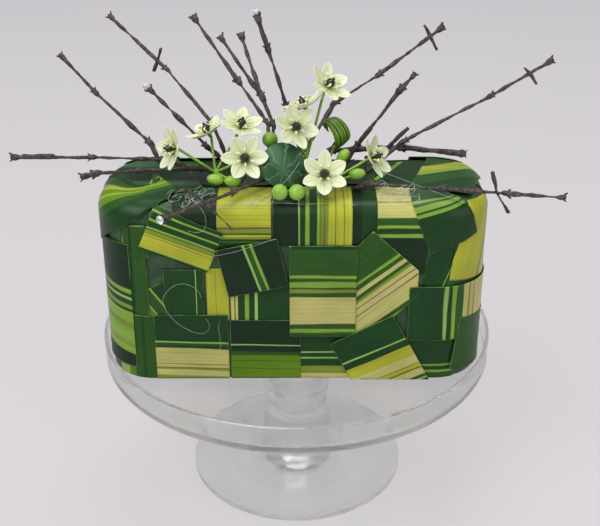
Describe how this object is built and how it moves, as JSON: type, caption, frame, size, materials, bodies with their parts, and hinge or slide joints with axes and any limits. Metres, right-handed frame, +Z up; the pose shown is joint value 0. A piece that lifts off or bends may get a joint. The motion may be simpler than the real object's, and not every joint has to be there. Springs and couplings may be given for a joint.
{
  "type": "flower frog",
  "caption": "Floral foam block clad in woven-look striped leaf squares on a footed glass dish, gripping pull-out twigs and flower sprays.",
  "frame": {"origin": "centre of the pedestal foot's flat rest face", "axes": "+Z up, +X along the block to its right-hand end, -Y the front face seen in the picture"},
  "size_m": [0.3328, 0.246, 0.3066],
  "materials": {
    "clear_glass": "clear polished pressed glass",
    "floral_foam": "wet open-cell floral foam",
    "pin_wire": "bare steel wire",
    "crystal": "clear cut glass",
    "twig_bark": "dark brown-grey bark",
    "petal": "soft matt cream-white tepals",
    "flower_heart": "glossy dark green ovary with cream stamens",
    "green_stem": "fresh green stems, buds and berries",
    "dark_leaf": "waxy dark green leaf",
    "striped_leaf": "waxy leaf striped in green, lime and cream",
    "pale_leaf": "waxy mid-green leaf"
  },
  "bodies": {
    "dish": {"glass_pedestal": "clear_glass", "glass_plate": "clear_glass"},
    "leaf_block": {"foam_block": "floral_foam", "leaf_pins": "pin_wire", "under_leaf_sides": "dark_leaf", "under_leaf_top": "dark_leaf", "round_leaf": "dark_leaf", "curled_leaf": "pale_leaf", "left_corner_leaf": "striped_leaf", "left_corner_strap": "striped_leaf", "left_upright_straps": "striped_leaf", "dark_leaves": "dark_leaf", "upper_leaf_1": "striped_leaf", "upper_leaf_2": "striped_leaf", "upper_leaf_3": "striped_leaf", "upper_leaf_4": "striped_leaf", "upper_leaf_5": "striped_leaf", "right_corner_leaf": "striped_leaf", "middle_leaf_1": "striped_leaf", "middle_leaf_2": "striped_leaf", "middle_leaf_3": "striped_leaf", "middle_leaf_4": "striped_leaf", "middle_leaf_5": "striped_leaf", "lower_leaf_1": "striped_leaf", "lower_leaf_2": "striped_leaf", "lower_leaf_3": "striped_leaf", "lower_leaf_4": "striped_leaf", "top_leaves": "dark_leaf", "back_leaves": "dark_leaf", "left_end_leaves": "dark_leaf", "right_end_leaves": "dark_leaf"},
    "flat_left_twig": {"flat_left_twig": "twig_bark"},
    "low_left_twig": {"low_left_twig": "twig_bark"},
    "side_left_twig": {"side_left_twig": "twig_bark"},
    "cross_left_twig": {"cross_left_twig": "twig_bark"},
    "crystal_left_twig": {"crystal_left_twig": "twig_bark", "crystal_left_bead": "crystal"},
    "tall_left_twig": {"tall_left_twig": "twig_bark"},
    "forked_twig": {"forked_twig": "twig_bark"},
    "centre_twig": {"centre_twig": "twig_bark", "centre_bead": "crystal"},
    "cross_right_twig": {"cross_right_twig": "twig_bark"},
    "short_right_twig": {"short_right_twig": "twig_bark"},
    "long_right_twig": {"long_right_twig": "twig_bark"},
    "thick_flat_twig": {"thick_flat_twig": "twig_bark", "thick_twig_beads": "crystal"},
    "low_right_twig": {"low_right_twig": "twig_bark"},
    "front_twig": {"front_twig": "twig_bark", "front_bead": "crystal"},
    "left_spray": {"left_spray_stems": "green_stem", "left_spray_tepals": "petal", "left_spray_hearts": "flower_heart"},
    "centre_spray": {"centre_spray_stems": "green_stem", "centre_spray_tepals": "petal", "centre_spray_hearts": "flower_heart"},
    "right_spray": {"right_spray_stems": "green_stem", "right_spray_tepals": "petal", "right_spray_hearts": "flower_heart"}
  },
  "joints": [
    {"name": "block_lift", "type": "slide", "parent": "dish", "child": "leaf_block", "axis": [0, 0, 1], "range_m": [0, 0.04]},
    {"name": "flat_left_twig_pull", "type": "slide", "parent": "leaf_block", "child": "flat_left_twig", "axis": [-0.8748, -0.243, 0.4192], "range_m": [0, 0.026]},
    {"name": "low_left_twig_pull", "type": "slide", "parent": "leaf_block", "child": "low_left_twig", "axis": [-0.8495, 0.1971, 0.4893], "range_m": [0, 0.026]},
    {"name": "side_left_twig_pull", "type": "slide", "parent": "leaf_block", "child": "side_left_twig", "axis": [-0.4507, 0.3863, 0.8048], "range_m": [0, 0.026]},
    {"name": "cross_left_twig_pull", "type": "slide", "parent": "leaf_block", "child": "cross_left_twig", "axis": [-0.3913, 0.4566, 0.799], "range_m": [0, 0.026]},
    {"name": "crystal_left_twig_pull", "type": "slide", "parent": "leaf_block", "child": "crystal_left_twig", "axis": [-0.7508, 0.2118, 0.6257], "range_m": [0, 0.026]},
    {"name": "tall_left_twig_pull", "type": "slide", "parent": "leaf_block", "child": "tall_left_twig", "axis": [-0.0729, 0.5104, 0.8568], "range_m": [0, 0.026]},
    {"name": "forked_twig_pull", "type": "slide", "parent": "leaf_block", "child": "forked_twig", "axis": [0, 0.3999, 0.9165], "range_m": [0, 0.026]},
    {"name": "centre_twig_pull", "type": "slide", "parent": "leaf_block", "child": "centre_twig", "axis": [-0.1408, 0.132, 0.9812], "range_m": [0, 0.026]},
    {"name": "cross_right_twig_pull", "type": "slide", "parent": "leaf_block", "child": "cross_right_twig", "axis": [0.5183, 0.5183, 0.6803], "range_m": [0, 0.026]},
    {"name": "short_right_twig_pull", "type": "slide", "parent": "leaf_block", "child": "short_right_twig", "axis": [0.539, 0.1078, 0.8354], "range_m": [0, 0.026]},
    {"name": "long_right_twig_pull", "type": "slide", "parent": "leaf_block", "child": "long_right_twig", "axis": [0.7619, 0.1433, 0.6317], "range_m": [0, 0.026]},
    {"name": "thick_flat_twig_pull", "type": "slide", "parent": "leaf_block", "child": "thick_flat_twig", "axis": [0.6657, 0.3208, 0.6737], "range_m": [0, 0.026]},
    {"name": "low_right_twig_pull", "type": "slide", "parent": "leaf_block", "child": "low_right_twig", "axis": [0.8596, -0.2553, 0.4426], "range_m": [0, 0.026]},
    {"name": "front_twig_pull", "type": "slide", "parent": "leaf_block", "child": "front_twig", "axis": [-0.6157, -0.4321, 0.6589], "range_m": [0, 0.007]},
    {"name": "left_spray_pull", "type": "slide", "parent": "leaf_block", "child": "left_spray", "axis": [0, -0.1104, 0.9939], "range_m": [0, 0.026]},
    {"name": "centre_spray_pull", "type": "slide", "parent": "leaf_block", "child": "centre_spray", "axis": [-0.1319, -0.1041, 0.9858], "range_m": [0, 0.026]},
    {"name": "right_spray_pull", "type": "slide", "parent": "leaf_block", "child": "right_spray", "axis": [0.1562, -0.3123, 0.937], "range_m": [0, 0.026]}
  ]
}
